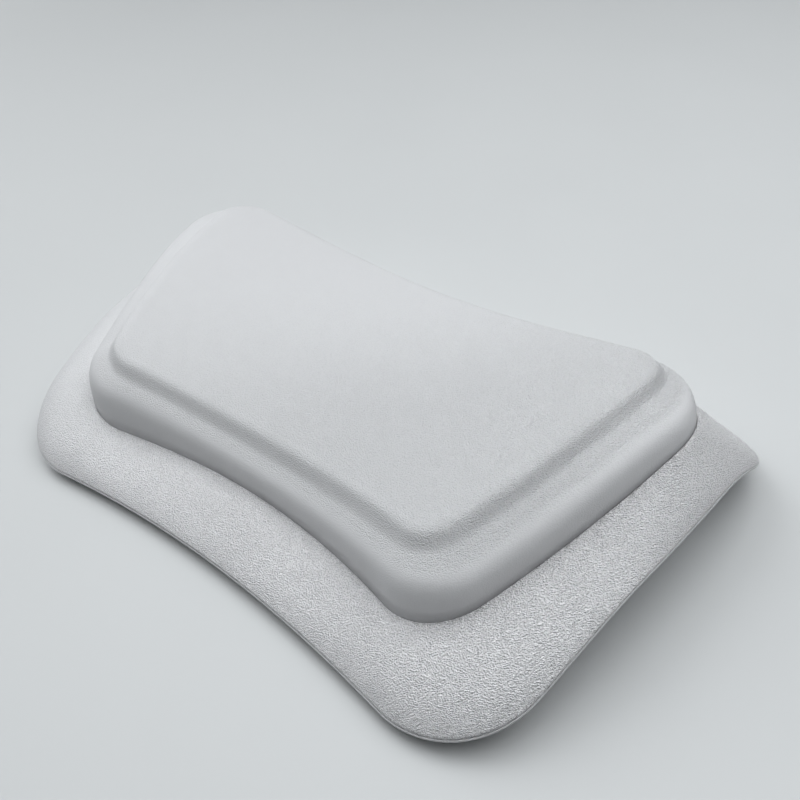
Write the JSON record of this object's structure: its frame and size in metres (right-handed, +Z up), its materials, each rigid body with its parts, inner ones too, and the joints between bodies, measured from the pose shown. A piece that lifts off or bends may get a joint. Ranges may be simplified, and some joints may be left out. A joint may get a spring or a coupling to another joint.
{
  "type": "bath pillow",
  "caption": "Two-tier moulded foam bath pillow with a dished head face, a flange rolled over to a thin rim, and swivelling suction cups underneath.",
  "frame": {"origin": "centre of the part's box in plan, at the plane of the suction cup lips that it lies on", "axes": "+X along the long axis, +Y from the drawn-in near long side to the bowed far long side, +Z up out of the head face"},
  "size_m": [0.3216, 0.2016, 0.0693],
  "materials": {
    "skin": "white self-skinned polyurethane with a moulded grain",
    "foam": "open-cell polyurethane foam",
    "plate": "plain moulded polypropylene",
    "socket": "satin moulded plastic",
    "cup": "glossy milky soft vinyl"
  },
  "bodies": {
    "pillow": {"cushion_skin": "skin", "flange_skin": "skin", "back_skin": "skin", "cushion_core": "foam", "base_core": "foam", "stiffener_plate": "plate", "cup_socket_near_left": "socket", "cup_socket_near_right": "socket", "cup_socket_far_left": "socket", "cup_socket_far_right": "socket"},
    "cup_near_left": {"suction_cup_near_left": "cup"},
    "cup_near_right": {"suction_cup_near_right": "cup"},
    "cup_far_left": {"suction_cup_far_left": "cup"},
    "cup_far_right": {"suction_cup_far_right": "cup"}
  },
  "joints": [
    {"name": "cup_near_left_swivel", "type": "hinge", "parent": "pillow", "child": "cup_near_left", "pos_m": [-0.0774, -0.04417, 0], "axis": [0, 0, 1], "continuous": true},
    {"name": "cup_near_right_swivel", "type": "hinge", "parent": "pillow", "child": "cup_near_right", "pos_m": [0.0774, -0.04417, 0], "axis": [0, 0, 1], "continuous": true},
    {"name": "cup_far_left_swivel", "type": "hinge", "parent": "pillow", "child": "cup_far_left", "pos_m": [-0.0914, 0.04383, 0], "axis": [0, 0, 1], "continuous": true},
    {"name": "cup_far_right_swivel", "type": "hinge", "parent": "pillow", "child": "cup_far_right", "pos_m": [0.0914, 0.04383, 0], "axis": [0, 0, 1], "continuous": true}
  ]
}
